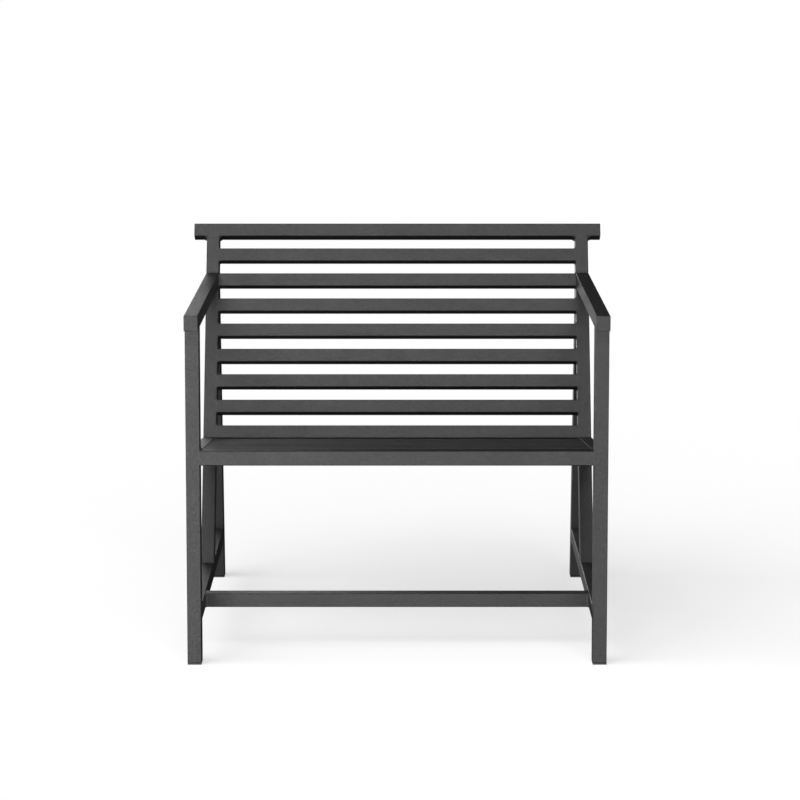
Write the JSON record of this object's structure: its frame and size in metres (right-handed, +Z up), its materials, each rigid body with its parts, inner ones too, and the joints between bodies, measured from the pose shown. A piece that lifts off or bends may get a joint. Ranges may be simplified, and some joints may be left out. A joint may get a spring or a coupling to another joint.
{
  "type": "lounge chair",
  "caption": "Low outdoor lounge chair of welded rectangular tube, with a reclined slatted back, slatted seat, straight armrests and splayed rear legs.",
  "frame": {"origin": "on the floor, under the middle of the chair's box", "axes": "+X across the chair, to the right of someone who faces it; +Y from the front to the back; +Z up"},
  "size_m": [0.8, 0.8606, 0.7245],
  "materials": {
    "powder_coat": "fine-texture matt powder coat, dark grey, on aluminium",
    "nylon": "moulded dark grey nylon"
  },
  "bodies": {
    "root": {"front_leg_left": "powder_coat", "front_leg_right": "powder_coat", "armrest_left": "powder_coat", "armrest_right": "powder_coat", "back_post_left": "powder_coat", "back_post_right": "powder_coat", "rear_leg_left": "powder_coat", "rear_leg_right": "powder_coat", "side_stretcher_left": "powder_coat", "side_stretcher_right": "powder_coat", "seat_side_rail_left": "powder_coat", "seat_side_rail_right": "powder_coat", "armrest_cap_left": "powder_coat", "armrest_cap_right": "powder_coat", "top_rail_cap_left": "powder_coat", "top_rail_cap_right": "powder_coat", "front_seat_rail": "powder_coat", "lower_crossbar": "powder_coat", "top_rail": "powder_coat", "back_slat_1": "powder_coat", "back_slat_2": "powder_coat", "back_slat_3": "powder_coat", "back_slat_4": "powder_coat", "back_slat_5": "powder_coat", "back_slat_6": "powder_coat", "back_slat_7": "powder_coat", "back_slat_8": "powder_coat", "seat_slat_01": "powder_coat", "seat_slat_02": "powder_coat", "seat_slat_03": "powder_coat", "seat_slat_04": "powder_coat", "seat_slat_05": "powder_coat", "seat_slat_06": "powder_coat", "seat_slat_07": "powder_coat", "seat_slat_08": "powder_coat", "seat_slat_09": "powder_coat", "seat_slat_10": "powder_coat", "top_rail_welds": "powder_coat", "back_slat_welds": "powder_coat", "front_rail_welds": "powder_coat", "crossbar_welds": "powder_coat", "front_foot_glide_left": "nylon", "front_foot_glide_right": "nylon", "rear_foot_glide_left": "nylon", "rear_foot_glide_right": "nylon"}
  },
  "joints": []
}
